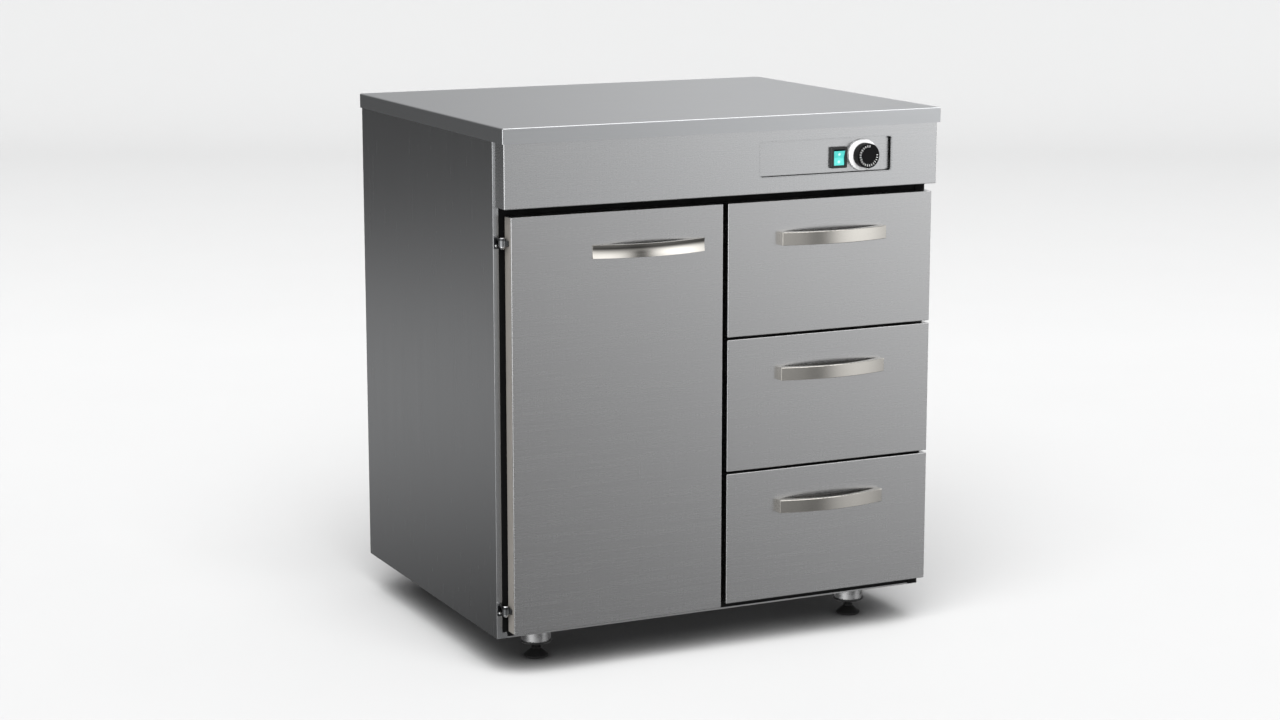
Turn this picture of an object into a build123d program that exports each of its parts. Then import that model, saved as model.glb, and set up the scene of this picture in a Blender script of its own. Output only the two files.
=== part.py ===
"""UV sterilizer cabinet for a salon: a stainless steel base cabinet with a lamp compartment behind a
hinged door, three drawers on telescopic runners, and a timer and mains switch in the fascia.

Frame: origin on the floor under the middle of the outline, +Z up, +X to the right seen from the front,
-Y towards the person in front of it. Millimetres.
"""

from build123d import *
import math
import os

# ---------------------------------------------------------------- driving dimensions

WIDTH = 800.0  # over the worktop
HEIGHT = 900.0  # floor to worktop
DEPTH = 656.0  # over the worktop

SHEET = 1.2  # stainless sheet of casing, doors and drawers
BEND = 2.0  # outside radius of a folded edge
SEAT_GAP = 0.1  # play between fixed sheet parts that lie against each other

FOOT_HEIGHT = 60.0  # floor to the underside of the casing
APRON = 25.0  # depth of the worktop's folded edge
CORE = 18.0  # board under the worktop
SIDE_INSET = 1.5  # casing behind the worktop's edge, at the sides
BACK_INSET = 6.0  # the same at the back
SIDE_LIP = 9.5  # width of the side panels' folded front edge
CASING_SETBACK = 46.0  # casing front behind the worktop's front edge
WALL_BOX = 16.0  # casing lip to inner liner

FASCIA_SETBACK = 5.0  # fascia face behind the worktop's front edge
FASCIA_INSET = 4.0  # fascia ends behind the worktop's ends
FASCIA_DROP = 129.0  # worktop to the fascia's lower edge
FASCIA_RETURN = 15.0  # folded top and bottom of the fascia

POCKET_LEFT = 57.7  # recess for the controls
POCKET_RIGHT = 309.0
POCKET_TOP = 43.3  # below the worktop
POCKET_HEIGHT = 60.0
POCKET_DEPTH = 8.0
POCKET_RADIUS = 6.0
POCKET_FLANGE = 10.0
POCKET_PLAY = 0.2

SWITCH_X = 209.0
SWITCH_DROP = 3.1  # switch below the middle of the recess
SWITCH_WIDTH = 30.0
SWITCH_HEIGHT = 35.5
SWITCH_PROUD = 6.0  # bezel in front of the recessed panel
SWITCH_BODY = 20.0  # body behind the recessed panel
ROCKER_WIDTH = 20.0
ROCKER_HALF = 12.2  # half height of the rocker
ROCKER_TILT = 7.0  # degrees either side of level
ROCKER_PLAY = 0.4
ROCKER_PIVOT = 3.0  # pivot behind the recessed panel's face
TRUNNION_RADIUS = 1.5  # pivot pins moulded on the rocker's sides
TRUNNION_REACH = 1.6  # how far a pivot pin stands out
TRUNNION_PLAY = 0.06
SEAT_STEP = 2.0  # bezel overhang round the switch's body

DIAL_X = 255.7
DIAL_DROP = 1.0  # dial below the middle of the recess
DIAL_RADIUS = 27.0
DIAL_THICK = 4.0
KNOB_RADIUS = 20.8
KNOB_LENGTH = 18.0
KNOB_GAP = 0.6  # knob in front of the dial ring
SHAFT_RADIUS = 3.0
SHAFT_PLAY = 0.05
BUSHING_RADIUS = 4.75
TIMER_SIZE = 42.0
TIMER_DEPTH = 30.0

DOOR_THICK = 25.0  # door and drawer fronts
DOOR_GAP = 3.0  # fronts to the casing
DOOR_LEFT = 19.2  # door's edge inside the casing side, leaving the hinge gap
DOOR_RIGHT = -1.5  # door's closing edge
DOOR_BOTTOM = 11.5  # above the underside of the casing
FRONTS_TOP_GAP = 14.5  # fascia's lower edge to the fronts
DRAWERS_LEFT = 7.5
DRAWERS_RIGHT_INSET = 2.5  # drawer edge inside the casing side
DRAWER_GAP = 4.5  # between drawer fronts
DRAWERS_BOTTOM = 17.0  # above the underside of the casing
FRONT_LIP = 20.0  # folded back edge of a drawer front

PARTITION_LEFT = -10.0
PARTITION_WIDTH = 26.0
FRAME_SHEET = 1.5
FRAME_RECESS = 0.3  # frame face behind the casing's front edge
RAIL = 20.0  # height of a cross rail between drawers
TOP_RAIL = 30.0
BOTTOM_RAIL = 28.0  # top of the bottom rail above the underside of the casing
FRAME_LAP = 11.5  # the fronts' top edge above the frame's openings
CORNER_TAB = 10.0  # wider foot of the side panels' front edge
BAY_DROP = 140.0  # worktop to the service bay's floor

HINGE_X = 10.5  # pivot inside the casing side
HINGE_Y = 33.0  # pivot behind the worktop's front edge
HINGE_PIN_RADIUS = 3.0
HINGE_BARREL_RADIUS = 6.5
HINGE_HEIGHT = 18.0
HINGE_TONGUE = 3.0
HINGE_PLAY = 0.3
HINGE_PIN_PLAY = 0.06
HINGE_FROM_TOP = 34.5  # door's top edge to the upper hinge
HINGE_FROM_BOTTOM = 27.5  # door's bottom edge to the lower hinge

HANDLE_LENGTH = 198.0
HANDLE_HEIGHT = 22.0
HANDLE_BAR = 5.0
HANDLE_FOOT = 8.0
HANDLE_END = 12.0  # depth of a drawer handle's ends
HANDLE_REACH = 27.0
HANDLE_DROP = 52.0  # front's top edge to the handle
DOOR_HANDLE_LENGTH = 201.0
DOOR_HANDLE_HEIGHT = 22.0
DOOR_HANDLE_BAR = 5.0
DOOR_HANDLE_FOOT = 30.0
DOOR_HANDLE_END = 2.5
DOOR_HANDLE_REACH = 20.0
DOOR_HANDLE_DROP = 52.8
DOOR_HANDLE_EDGE = 35.3  # handle's end to the door's closing edge

DRAWER_BOX_DEPTH = 540.0
DRAWER_BOX_BELOW_FRONT = 73.5  # drawer box lower than its front
DRAWER_BOX_RISE = 22.0  # box above the rail below it
RUNNER_LENGTH = 550.0
RUNNER_HEIGHT = 45.0
RUNNER_THICK = 13.0
RUNNER_PLAY = 0.5
DRAWER_TRAVEL = 500.0

SHELF_WIDTH_PLAY = 1.5
SHELF_DEPTH = 470.0
SHELF_HEIGHTS = (230.0, 460.0)  # above the underside of the casing
SHELF_ROD = 3.0
SHELF_WIRE = 1.5
SHELF_WIRES = 15
SHELF_RAIL = 12.0

CATCH_DROP = 36.0  # door's top edge to the catch

LAMP_RADIUS = 13.0
LAMP_LENGTH = 438.0
LAMP_CAP = 16.0
LAMP_STANDOFF = 45.0  # lamp's axis in front of the back panel
LAMP_DROP = 1.6  # lamp's middle below the middle of the compartment
HOLDER_REACH = 14.0
PIN_RADIUS = 1.2
PIN_LENGTH = 7.0
REFLECTOR_WIDTH = 96.0
REFLECTOR_DEPTH = 22.0
REFLECTOR_PAST_LAMP = 30.0

INLET_FROM_RIGHT = 80.0  # mains inlet's middle inside the worktop's end
INLET_DROP = 74.0  # worktop to the inlet's middle
INLET_WIDTH = 27.5
INLET_HEIGHT = 20.0
INLET_DEPTH = 22.0
BALLAST_SIZE = (150.0, 40.0, 28.0)
BALLAST_STANDOFF = 150.0  # ballast's middle in front of the back panel
CABLE_HOLE = 8.0
CABLE_HOLE_STANDOFF = 60.0
LOOM_RADIUS = 3.0
LEAD_RADIUS = 1.5
TAB_THICK = 0.8  # push-on terminals
TAB_WIDTH = 6.0
TAB_LENGTH = 8.0
SWITCH_TAB_X = 6.0
SWITCH_TAB_Z = 8.0
TIMER_TAB_X = 10.0

FOOT_X = 300.0
FOOT_INSET = 69.0  # foot's axis inside the casing's front and back
SOCKET_RADIUS = 25.0
SOCKET_HEIGHT = 30.0
SOCKET_WALL = 2.0
SOCKET_PLATE = 120.0
SOCKET_PLATE_THICK = 2.5
BUSH_FLANGE = 4.0
BUSH_PROUD = 2.0
STEM_RADIUS = 5.0
STEM_PLAY = 0.05
PAD_RADIUS = 20.5
PAD_RIM = 5.0
PAD_NECK_RADIUS = 8.0
PAD_NECK_GAP = 9.0  # neck below the bush, more than the stem can be screwed in
STEM_END_GAP = 9.0  # stem's end below the mounting plate

# ---------------------------------------------------------------- places worked out from them

KNOB_PROUD = KNOB_LENGTH + KNOB_GAP + DIAL_THICK - POCKET_DEPTH - FASCIA_SETBACK
HANDLE_PROUD = HANDLE_REACH - (CASING_SETBACK - DOOR_GAP - DOOR_THICK)
PROUD = max(KNOB_PROUD, HANDLE_PROUD)  # what stands in front of the worktop's edge

FRONT = PROUD - (DEPTH + PROUD) / 2  # worktop's front edge
BACK = FRONT + DEPTH
HALF = WIDTH / 2

CASING_SIDE = HALF - SIDE_INSET
CASING_FRONT = FRONT + CASING_SETBACK
CASING_BACK = BACK - BACK_INSET
CASING_BOTTOM = FOOT_HEIGHT
CORE_BOTTOM = HEIGHT - SHEET - CORE
LIP_EDGE = CASING_SIDE - SIDE_LIP  # inner edge of the side panels' lips
LINER_OUT = LIP_EDGE - SEAT_GAP
LINER_IN = LINER_OUT - WALL_BOX
INNER_BACK = CASING_BACK - SHEET  # front face of the back panel
BASE_TOP = CASING_BOTTOM + SHEET

FASCIA_FACE = FRONT + FASCIA_SETBACK
FASCIA_BOTTOM = HEIGHT - FASCIA_DROP
PANEL_FACE = FASCIA_FACE + POCKET_DEPTH  # face of the recessed control panel
POCKET_Z = HEIGHT - POCKET_TOP - POCKET_HEIGHT / 2
DIAL_Z = POCKET_Z - DIAL_DROP
SWITCH_Z = POCKET_Z - SWITCH_DROP

ROCKER_PIVOT_Y = PANEL_FACE + ROCKER_PIVOT

FRONTS_BACK = CASING_FRONT - DOOR_GAP
FRONTS_FACE = FRONTS_BACK - DOOR_THICK
FRONTS_TOP = FASCIA_BOTTOM - FRONTS_TOP_GAP
DOOR_X = (-CASING_SIDE + DOOR_LEFT, DOOR_RIGHT)
DOOR_Z = (CASING_BOTTOM + DOOR_BOTTOM, FRONTS_TOP)
DRAWER_X = (DRAWERS_LEFT, CASING_SIDE - DRAWERS_RIGHT_INSET)
DRAWER_NAMES = ("top", "middle", "bottom")
DRAWER_HEIGHT = (FRONTS_TOP - CASING_BOTTOM - DRAWERS_BOTTOM - 2 * DRAWER_GAP) / 3
DRAWER_BOX_HEIGHT = DRAWER_HEIGHT - DRAWER_BOX_BELOW_FRONT

FRAME_FACE = CASING_FRONT + FRAME_RECESS
FRAME_BACK = FRAME_FACE + FRAME_SHEET
INNER_FRONT = FRAME_BACK + SEAT_GAP  # front of liners and partition
PARTITION_RIGHT = PARTITION_LEFT + PARTITION_WIDTH
BAY_FLOOR = HEIGHT - BAY_DROP
FRAME_TOP_OPENING = FRONTS_TOP - FRAME_LAP
FRAME_BOTTOM_OPENING = CASING_BOTTOM + BOTTOM_RAIL

CATCH_Z = DOOR_Z[1] - CATCH_DROP
PIVOT = (-CASING_SIDE + HINGE_X, FRONT + HINGE_Y)
HINGE_TOPS = (DOOR_Z[1] - HINGE_FROM_TOP, DOOR_Z[0] + HINGE_FROM_BOTTOM + HINGE_HEIGHT)

BOX_X = (PARTITION_RIGHT + RUNNER_THICK, LINER_IN - RUNNER_THICK)
BOX_Y = (FRONTS_BACK + SEAT_GAP, FRONTS_BACK + SEAT_GAP + DRAWER_BOX_DEPTH)
RUNNER_Y = (INNER_FRONT + 1, INNER_FRONT + 1 + RUNNER_LENGTH)
STEP = SHEET + RUNNER_PLAY  # each runner member nests this far inside the last
MIDDLE_HEIGHT = RUNNER_HEIGHT - 2 * STEP
INNER_HEIGHT = MIDDLE_HEIGHT - 2 * STEP

PAD_NECK_TOP = CASING_BOTTOM - SOCKET_HEIGHT - BUSH_FLANGE - PAD_NECK_GAP
STEM_TOP = CASING_BOTTOM - SOCKET_PLATE_THICK - STEM_END_GAP
FOOT_PLACES = {
    "front_left": (-FOOT_X, CASING_FRONT + FOOT_INSET),
    "front_right": (FOOT_X, CASING_FRONT + FOOT_INSET),
    "back_left": (-FOOT_X, CASING_BACK - FOOT_INSET),
    "back_right": (FOOT_X, CASING_BACK - FOOT_INSET),
}

INLET_X = HALF - INLET_FROM_RIGHT
INLET_Z = HEIGHT - INLET_DROP
BALLAST_Y = INNER_BACK - BALLAST_STANDOFF
CABLE_HOLE_Y = INNER_BACK - CABLE_HOLE_STANDOFF

LAMP_X = (-LINER_IN + PARTITION_LEFT) / 2  # middle of the lamp compartment
LAMP_Y = INNER_BACK - LAMP_STANDOFF
LAMP_MIDDLE = (BASE_TOP + BAY_FLOOR) / 2 - LAMP_DROP
LAMP_Z = (LAMP_MIDDLE - LAMP_LENGTH / 2, LAMP_MIDDLE + LAMP_LENGTH / 2)


def drawer_top(index):
    """Height of the top edge of a drawer's front, counted from the top drawer."""
    return FRONTS_TOP - index * (DRAWER_HEIGHT + DRAWER_GAP)


def rail_middle(index):
    """Height of the gap between one drawer's front and the next one down."""
    return drawer_top(index) - DRAWER_HEIGHT - DRAWER_GAP / 2


def box_floor(index):
    """Height of the underside of a drawer's box."""
    below = rail_middle(index) + RAIL / 2 if index < 2 else FRAME_BOTTOM_OPENING
    return below + DRAWER_BOX_RISE


def runner_middle(index):
    """Height of a drawer's runners."""
    return box_floor(index) + DRAWER_BOX_HEIGHT / 2


# ---------------------------------------------------------------- small helpers


def block(x, y, z):
    """A box from three (low, high) pairs."""
    corner = Pos(x[0], y[0], z[0])
    return corner * Box(x[1] - x[0], y[1] - y[0], z[1] - z[0], align=(Align.MIN,) * 3)


def about(middle, size):
    """A (low, high) pair around a middle."""
    return (middle - size / 2, middle + size / 2)


def cylinder(start, end, radius):
    """A round bar between two points."""
    axis = Vector(*end) - Vector(*start)
    plane = Plane(origin=start, z_dir=axis)
    return plane * Cylinder(radius, axis.length, align=(Align.CENTER, Align.CENTER, Align.MIN))


def turned(profile, middle, direction="Z"):
    """A solid of revolution from (radius, height) points, standing at a point along +Z or -Y."""
    face = make_face(Plane.XZ * Polyline(*profile, close=True))
    solid = revolve(face, Axis.Z)
    if direction == "-Y":
        solid = Rot(X=90) * solid
    return Pos(*middle) * solid


def group(*solids):
    """Several separate solids that share one node."""
    return Compound(children=list(solids))


def mirrored(shape):
    """The same shape on the other side of the cabinet's middle plane."""
    return mirror(shape, about=Plane.YZ)


def rounded_sheet_edges(shape, axis, low_y):
    """Rounds a folded front's outside edges: those along an axis that lie on its face."""
    edges = shape.edges().filter_by(axis).filter_by(lambda e: abs(e.center().Y - low_y) < 0.01)
    return fillet(edges, BEND)


# ---------------------------------------------------------------- casing


def worktop():
    """Folded sheet top with an apron on all four sides."""
    outside = block((-HALF, HALF), (FRONT, BACK), (HEIGHT - APRON, HEIGHT))
    upright = outside.edges().filter_by(Axis.Z)
    outside = fillet(upright, BEND)
    outside = fillet(outside.faces().sort_by(Axis.Z)[-1].edges(), BEND)
    inside = block(
        (-HALF + SHEET, HALF - SHEET),
        (FRONT + SHEET, BACK - SHEET),
        (HEIGHT - APRON, HEIGHT - SHEET),
    )
    return outside - inside


def worktop_core():
    """Board that stiffens the worktop from below."""
    edge = SHEET + SEAT_GAP
    return block(
        (-HALF + edge, HALF - edge),
        (FRONT + edge, BACK - edge),
        (CORE_BOTTOM, HEIGHT - SHEET),
    )


def left_side_panel():
    """Outer side skin with lips folded inwards on every edge."""
    top = CORE_BOTTOM
    outside = block((-CASING_SIDE, -LIP_EDGE), (CASING_FRONT, CASING_BACK), (CASING_BOTTOM, top))
    corner = outside.edges().filter_by(Axis.Z).filter_by(lambda e: e.center().X < -LIP_EDGE - 1)
    outside = fillet(corner, BEND / 2)
    inside = block(
        (-CASING_SIDE + SHEET, -LIP_EDGE + 1),
        (CASING_FRONT + SHEET, CASING_BACK - SHEET),
        (CASING_BOTTOM + SHEET, top - SHEET),
    )
    panel = outside - inside
    tab = block(
        (-LIP_EDGE, -LIP_EDGE + CORNER_TAB - 1),
        (CASING_FRONT, CASING_FRONT + SHEET),
        (CASING_BOTTOM, CASING_BOTTOM + CORNER_TAB),
    )
    tip = tab.edges().filter_by(Axis.Y).sort_by(lambda e: e.center().X + e.center().Z)[-1]
    return panel + fillet(tip, CORNER_TAB / 2)


def base_panel():
    """Bottom of the casing, with a hemmed front edge."""
    edge = LIP_EDGE - SEAT_GAP
    tab = LIP_EDGE - CORNER_TAB + 1 - SEAT_GAP
    plate = block((-edge, edge), (CASING_FRONT + SHEET + SEAT_GAP, INNER_BACK), (CASING_BOTTOM, BASE_TOP))
    nose = block((-tab, tab), (CASING_FRONT, CASING_FRONT + 2 * SHEET), (CASING_BOTTOM, BASE_TOP))
    hem = block((-tab, tab), (CASING_FRONT, FRAME_BACK), (BASE_TOP, BASE_TOP + SHEET))
    return plate + nose + hem


def back_panel():
    """Back of the casing, with vent slots for the service bay and the inlet's cut-out."""
    edge = LIP_EDGE - SEAT_GAP
    panel = block((-edge, edge), (INNER_BACK, CASING_BACK), (CASING_BOTTOM, CORE_BOTTOM))
    slots = [
        block(about(x, 60), (INNER_BACK - 1, CASING_BACK + 1), about(z, 4))
        for x in (-300, -220, -140)
        for z in (800, 812, 824, 836, 848)
    ]
    for slot in slots:
        panel -= slot
    cut_out = (about(INLET_X, INLET_WIDTH), (INNER_BACK - 1, CASING_BACK + 1), about(INLET_Z, INLET_HEIGHT))
    return panel - block(*cut_out)


def side_liner():
    """Inner wall on the left, a shallow tray whose lips meet the side panel's."""
    outside = block((-LINER_OUT, -LINER_IN), (INNER_FRONT, INNER_BACK), (BASE_TOP, BAY_FLOOR))
    inside = block(
        (-LINER_OUT - 1, -LINER_IN - SHEET),
        (INNER_FRONT + SHEET, INNER_BACK - SHEET),
        (BASE_TOP + SHEET, BAY_FLOOR - SHEET),
    )
    return outside - inside


def centre_partition():
    """Double-skinned wall between the lamp compartment and the drawers."""
    outside = block((PARTITION_LEFT, PARTITION_RIGHT), (INNER_FRONT, INNER_BACK), (BASE_TOP, BAY_FLOOR))
    inside = block(
        (PARTITION_LEFT + SHEET, PARTITION_RIGHT - SHEET),
        (INNER_FRONT + SHEET, INNER_BACK - SHEET),
        (BASE_TOP, BAY_FLOOR),
    )
    return outside - inside


def service_bay_floor():
    """Floor of the electrics bay and ceiling of the compartments, with a cable hole."""
    edge = LIP_EDGE - SEAT_GAP
    x = (-edge, edge)
    plate = block(x, (INNER_FRONT, INNER_BACK), (BAY_FLOOR, BAY_FLOOR + SHEET))
    upstand = block(x, (INNER_FRONT, INNER_FRONT + SHEET), (BAY_FLOOR, BAY_FLOOR + FASCIA_RETURN))
    below = (LAMP_X, CABLE_HOLE_Y, BAY_FLOOR - 1)
    above = (LAMP_X, CABLE_HOLE_Y, BAY_FLOOR + SHEET + 1)
    hole = cylinder(below, above, CABLE_HOLE)
    return plate + upstand - hole


def front_frame():
    """Face frame behind the fronts, with the door's opening and one opening for each drawer."""
    edge = LIP_EDGE - SEAT_GAP
    y = (FRAME_FACE, FRAME_BACK)
    bottom = BASE_TOP + SHEET + SEAT_GAP
    top = FRAME_TOP_OPENING + TOP_RAIL
    frame = block((-edge, edge), y, (bottom, top))
    through = (FRAME_FACE - 1, FRAME_BACK + 1)
    frame -= block((-LINER_IN, PARTITION_LEFT), through, (FRAME_BOTTOM_OPENING, FRAME_TOP_OPENING))
    levels = [FRAME_TOP_OPENING, rail_middle(0), rail_middle(1), FRAME_BOTTOM_OPENING]
    for index in range(3):
        upper = levels[index] - (RAIL / 2 if index > 0 else 0)
        lower = levels[index + 1] + (RAIL / 2 if index < 2 else 0)
        frame -= block((PARTITION_RIGHT, LINER_IN), through, (lower, upper))
    tab = CORNER_TAB - 1 + SEAT_GAP
    for side in (-1, 1):
        x = sorted((side * (edge - tab), side * (edge + 1)))
        frame -= block(x, through, (bottom - 1, CASING_BOTTOM + CORNER_TAB + SEAT_GAP))
    return frame


# ---------------------------------------------------------------- fascia and controls


def pocket_outline(play, depth, start):
    """The control recess's rounded outline, as a solid from a Y place to another."""
    width = POCKET_RIGHT - POCKET_LEFT - 2 * play
    height = POCKET_HEIGHT - 2 * play
    radius = POCKET_RADIUS - play
    sketch = RectangleRounded(width, height, radius)
    middle = (POCKET_LEFT + POCKET_RIGHT) / 2
    plane = Plane(origin=(middle, start, POCKET_Z), x_dir=(1, 0, 0), z_dir=(0, -1, 0))
    return extrude(plane * sketch, -depth)


def fascia():
    """Folded front of the service bay: face, end returns, and narrow top and bottom returns."""
    end = HALF - FASCIA_INSET
    z = (FASCIA_BOTTOM, CORE_BOTTOM)
    outside = block((-end, end), (FASCIA_FACE, CASING_FRONT), z)
    outside = rounded_sheet_edges(outside, Axis.Z, FASCIA_FACE)
    lower = outside.edges().filter_by(Axis.X).sort_by(lambda e: e.center().Y + e.center().Z)[0]
    outside = fillet(lower, BEND / 2)
    inside = block(
        (-end + SHEET, end - SHEET),
        (FASCIA_FACE + SHEET, CASING_FRONT + 1),
        (z[0] + SHEET, z[1] - SHEET),
    )
    window = block(
        (-end + SHEET, end - SHEET),
        (FASCIA_FACE + FASCIA_RETURN, CASING_FRONT + 1),
        (z[0] - 1, z[1] + 1),
    )
    return outside - inside - window - pocket_outline(0, SHEET + 1, FASCIA_FACE - 0.5)


def control_panel():
    """Recessed pan that carries the switch and the timer, flanged behind the fascia."""
    flange_at = FASCIA_FACE + SHEET
    pan = pocket_outline(POCKET_PLAY, POCKET_DEPTH + SHEET, FASCIA_FACE)
    pan += pocket_outline(-POCKET_FLANGE + POCKET_PLAY, SHEET, flange_at)
    pan -= pocket_outline(POCKET_PLAY + SHEET, POCKET_DEPTH, FASCIA_FACE)
    body = SWITCH_WIDTH - 2 * SEAT_STEP + 2 * SEAT_GAP
    tall = SWITCH_HEIGHT - 2 * SEAT_STEP + 2 * SEAT_GAP
    pan -= block(about(SWITCH_X, body), (PANEL_FACE - 1, PANEL_FACE + 3), about(SWITCH_Z, tall))
    hole = BUSHING_RADIUS + 0.25
    pan -= cylinder((DIAL_X, PANEL_FACE - 1, DIAL_Z), (DIAL_X, PANEL_FACE + 3, DIAL_Z), hole)
    return pan


def rocker_pivot(play):
    """The rocker's pivot pins as one rod, or their bore in the housing with a play all round."""
    reach = ROCKER_WIDTH / 2 + TRUNNION_REACH + play
    left = (SWITCH_X - reach, ROCKER_PIVOT_Y, SWITCH_Z)
    right = (SWITCH_X + reach, ROCKER_PIVOT_Y, SWITCH_Z)
    return cylinder(left, right, TRUNNION_RADIUS + play)


def switch_housing():
    """Bezel and body of the mains switch, open at the front for the rocker."""
    face = PANEL_FACE - SWITCH_PROUD
    bezel = block(about(SWITCH_X, SWITCH_WIDTH), (face, PANEL_FACE), about(SWITCH_Z, SWITCH_HEIGHT))
    bezel = fillet(bezel.edges().filter_by(Axis.Y), 2)
    bezel = chamfer(bezel.faces().sort_by(Axis.Y)[0].edges(), 0.8)
    body = block(
        about(SWITCH_X, SWITCH_WIDTH - 2 * SEAT_STEP),
        (PANEL_FACE, PANEL_FACE + SWITCH_BODY),
        about(SWITCH_Z, SWITCH_HEIGHT - 2 * SEAT_STEP),
    )
    well = block(
        about(SWITCH_X, ROCKER_WIDTH + 2 * ROCKER_PLAY),
        (face - 1, PANEL_FACE + SWITCH_BODY - 4),
        about(SWITCH_Z, 2 * (ROCKER_HALF + ROCKER_PLAY + 0.9)),
    )
    end = PANEL_FACE + SWITCH_BODY
    tabs = [
        block(about(SWITCH_X + dx, TAB_THICK), (end, end + TAB_LENGTH), about(SWITCH_Z + dz, TAB_WIDTH))
        for dx in (-SWITCH_TAB_X, SWITCH_TAB_X)
        for dz in (-SWITCH_TAB_Z, SWITCH_TAB_Z)
    ]
    housing = bezel + body - well - rocker_pivot(TRUNNION_PLAY)
    for tab in tabs:
        housing += tab
    return housing


def switch_rocker():
    """Lit rocker with a dished face, at rest with its lower half pressed in."""
    outline = [
        (-9.0, ROCKER_HALF),
        (-6.5, 0),
        (-9.0, -ROCKER_HALF),
        (2.0, -ROCKER_HALF + 3.5),
        (5.5, 0),
        (2.0, ROCKER_HALF - 3.5),
    ]
    plane = Plane(origin=(0, 0, 0), x_dir=(0, 1, 0), z_dir=(1, 0, 0))
    face = make_face(plane * Polyline(*outline, close=True))
    solid = Pos(-ROCKER_WIDTH / 2, 0, 0) * extrude(face, ROCKER_WIDTH)
    front = solid.faces().sort_by(Axis.Y)[:2]
    edges = [e for f in front for e in f.edges() if abs(abs(e.center().X) - ROCKER_WIDTH / 2) < 0.01]
    solid = fillet(edges, 0.8)
    return Pos(SWITCH_X, ROCKER_PIVOT_Y, SWITCH_Z) * Rot(X=ROCKER_TILT) * solid + rocker_pivot(0)


def dial_ring():
    """White bezel ring round the timer's neck."""
    hole = BUSHING_RADIUS + 0.3
    profile = [
        (hole, 0),
        (DIAL_RADIUS, 0),
        (DIAL_RADIUS, DIAL_THICK - 1.2),
        (DIAL_RADIUS - 1.2, DIAL_THICK),
        (hole, DIAL_THICK),
    ]
    return turned(profile, (DIAL_X, PANEL_FACE, DIAL_Z), "-Y")


def timer_knob():
    """Round knob with a bevelled rim for the scale and a blind bore for the shaft."""
    r = KNOB_RADIUS
    start = DIAL_THICK + KNOB_GAP
    end = start + KNOB_LENGTH
    bore = SHAFT_RADIUS + SHAFT_PLAY
    profile = [
        (bore, start),
        (r - 1.4, start),
        (r - 0.4, start + 1.2),
        (r, start + 3),
        (r, end - 1.2),
        (r - 1.2, end),
        (r * 0.7, end),
        (r * 0.68, end - 0.4),
        (0, end - 0.4),
        (0, end - 6),
        (bore, end - 6),
    ]
    return turned(profile, (DIAL_X, PANEL_FACE, DIAL_Z), "-Y")


def timer_shaft():
    """Shaft from inside the timer to inside the knob."""
    inner = PANEL_FACE + SHEET + 12
    outer = PANEL_FACE - DIAL_THICK - KNOB_GAP - KNOB_LENGTH + 6.2
    return cylinder((DIAL_X, inner, DIAL_Z), (DIAL_X, outer, DIAL_Z), SHAFT_RADIUS)


def timer_body():
    """Clockwork timer behind the panel, with the neck that the shaft turns in."""
    back_of_panel = PANEL_FACE + SHEET
    case = block(
        about(DIAL_X, TIMER_SIZE),
        (back_of_panel, back_of_panel + TIMER_DEPTH),
        about(DIAL_Z, TIMER_SIZE),
    )
    case = fillet(case.edges().filter_by(Axis.Y), 4)
    neck_end = PANEL_FACE - DIAL_THICK + 0.5
    neck = cylinder((DIAL_X, back_of_panel, DIAL_Z), (DIAL_X, neck_end, DIAL_Z), BUSHING_RADIUS)
    bore = cylinder(
        (DIAL_X, back_of_panel + 12.5, DIAL_Z),
        (DIAL_X, neck_end - 1, DIAL_Z),
        SHAFT_RADIUS + SHAFT_PLAY,
    )
    end = back_of_panel + TIMER_DEPTH
    tabs = [
        block(about(DIAL_X + dx, TAB_THICK), (end, end + TAB_LENGTH), about(DIAL_Z, TAB_WIDTH))
        for dx in (-TIMER_TAB_X, TIMER_TAB_X)
    ]
    timer = case + neck - bore
    for tab in tabs:
        timer += tab
    return timer


# ---------------------------------------------------------------- electrics


def mains_inlet():
    """Appliance inlet in the back panel: flange, shroud and three pins."""
    outer = block(about(INLET_X, 50), (CASING_BACK, CASING_BACK + 2.5), about(INLET_Z, 30))
    outer = fillet(outer.edges().filter_by(Axis.Y), 4)
    play = 2 * SEAT_GAP
    shroud = block(
        about(INLET_X, INLET_WIDTH - play),
        (CASING_BACK - INLET_DEPTH, CASING_BACK),
        about(INLET_Z, INLET_HEIGHT - play),
    )
    mouth = block(
        about(INLET_X, INLET_WIDTH - 4),
        (CASING_BACK - 17, CASING_BACK + 3),
        about(INLET_Z, INLET_HEIGHT - 4),
    )
    inlet = outer + shroud - mouth
    for dx, dz in ((-7, -2), (0, 3), (7, -2)):
        inlet += block(about(INLET_X + dx, 2), (CASING_BACK - 18, CASING_BACK - 4), about(INLET_Z + dz, 4))
    return inlet


def ballast():
    """Electronic ballast of the lamp, on the service bay's floor."""
    length, width, height = BALLAST_SIZE
    floor = BAY_FLOOR + SHEET
    case = block(about(LAMP_X, length), about(BALLAST_Y, width), (floor, floor + height))
    case = fillet(case.edges().filter_by(Axis.X).filter_by(lambda e: e.center().Z > floor + 1), 3)
    feet = block(about(LAMP_X, length + 24), about(BALLAST_Y, width), (floor, floor + 1.5))
    return case + feet


def wire(name, points, radius):
    """One insulated lead: straight runs joined by arcs as large as the runs allow."""
    radii = []
    for before, corner, after in zip(points, points[1:], points[2:]):
        a = Vector(*before) - Vector(*corner)
        b = Vector(*after) - Vector(*corner)
        turn = math.radians(180 - a.get_angle(b))
        radii.append(0.45 * min(a.length, b.length) / math.tan(turn / 2))
    print(name, "arc radii", [round(r) for r in radii])
    path = FilletPolyline(*points, radius=radii)
    section = Plane(origin=path @ 0, z_dir=path % 0) * Circle(radius)
    return sweep(section, path=path)


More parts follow.
